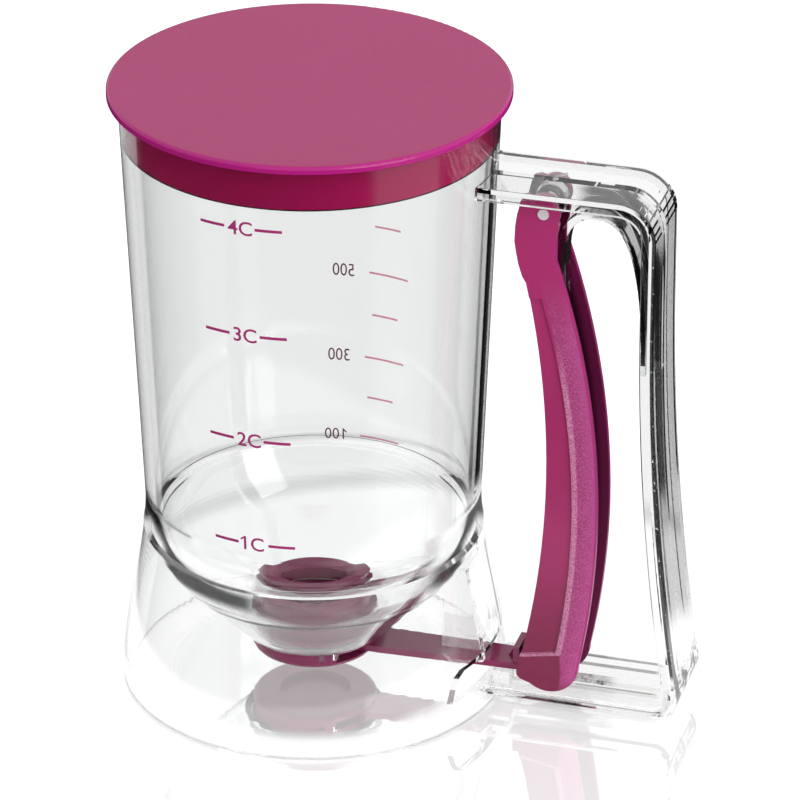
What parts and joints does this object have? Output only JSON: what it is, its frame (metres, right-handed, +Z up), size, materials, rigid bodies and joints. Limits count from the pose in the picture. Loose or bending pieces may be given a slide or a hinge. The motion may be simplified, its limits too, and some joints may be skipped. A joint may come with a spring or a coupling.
{
  "type": "batter dispenser",
  "caption": "Clear lidded hopper on a flared stand, with a trigger under its C-shaped handle that draws a flat gate out from under the outlet.",
  "frame": {"origin": "on the floor, under the middle of the part's bounding box", "axes": "+Z up, +X from the hopper towards the handle, and -Y the side with the cup scale"},
  "size_m": [0.1694, 0.114, 0.1865],
  "materials": {
    "hopper_clear": "clear, polished",
    "stand_clear": "clear, polished",
    "handle_clear": "clear, polished",
    "lid_plastic": "fine grain top, smooth edge",
    "trigger_plastic": "satin, with a grained border",
    "valve_plastic": "satin",
    "seal_rubber": "smooth",
    "pin_steel": "bright",
    "spring_steel": "bright wire"
  },
  "bodies": {
    "container": {"hopper": "hopper_clear", "stand": "stand_clear", "handle_frame": "handle_clear", "valve_seat": "valve_plastic", "neck_seal": "seal_rubber", "gate_seal": "seal_rubber", "outlet_collar": "valve_plastic", "pivot_pin": "pin_steel", "return_spring": "spring_steel"},
    "lid": {"lid": "lid_plastic"},
    "trigger": {"trigger": "trigger_plastic"},
    "gate": {"gate_slider": "valve_plastic"}
  },
  "joints": [
    {"name": "trigger_pivot", "type": "hinge", "parent": "container", "child": "trigger", "pos_m": [0.0422, 0, 0.1583], "axis": [0, -1, 0], "range_deg": [0, 9.3], "stiffness_Nm_per_rad": 1.2, "springref_deg": -17.19, "deforming": ["return_spring"]},
    {"name": "gate_slide", "type": "slide", "parent": "container", "child": "gate", "axis": [1, 0, 0], "range_m": [0, 0.0236]},
    {"name": "lid_lift", "type": "slide", "parent": "container", "child": "lid", "axis": [0, 0, 1], "range_m": [0, 0.05]}
  ],
  "couplings": [
    {"joint": "gate_slide", "follows": "trigger_pivot", "m_per_rad": 0.1448}
  ]
}
